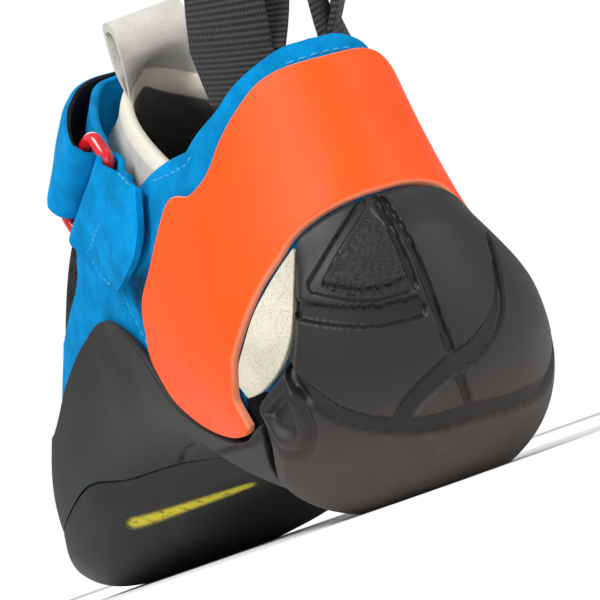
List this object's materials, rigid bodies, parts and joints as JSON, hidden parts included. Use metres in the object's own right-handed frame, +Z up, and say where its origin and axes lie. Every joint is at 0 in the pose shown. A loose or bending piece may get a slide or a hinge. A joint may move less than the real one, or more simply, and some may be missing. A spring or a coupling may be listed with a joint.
{
  "type": "climbing shoe",
  "caption": "Downturned right climbing shoe with a hollow upper, rubber rands and soles, a tongue, one ring-and-hook strap and webbing pull loops.",
  "frame": {"origin": "the middle of the heel's flat spot on the floor", "axes": "+Y to the toes, +Z up, +X to the outer side of the right foot"},
  "size_m": [0.0938, 0.2555, 0.1388],
  "materials": {
    "suede": "napped blue suede",
    "lining": "black woven lining",
    "sole_rubber": "moulded black rubber, matt with fine texture",
    "rand_rubber": "smooth black rubber, dusty",
    "orange_rubber": "smooth satin orange rubber",
    "speckled_rubber": "beige rubber with fine dark specks",
    "tongue_leather": "pale grey microfibre leather",
    "red_plastic": "glossy red plastic",
    "webbing": "ribbed black polyester webbing"
  },
  "bodies": {
    "root": {"upper": "suede", "insole": "lining", "outsole": "sole_rubber", "toe_rand": "rand_rubber", "slingshot_rand": "orange_rubber", "heel_pod": "sole_rubber", "heel_insert": "speckled_rubber", "tongue": "tongue_leather", "anchor_tab": "suede", "ring": "red_plastic", "strap": "suede", "pull_loop_inner": "webbing", "pull_loop_outer": "webbing"}
  },
  "joints": []
}
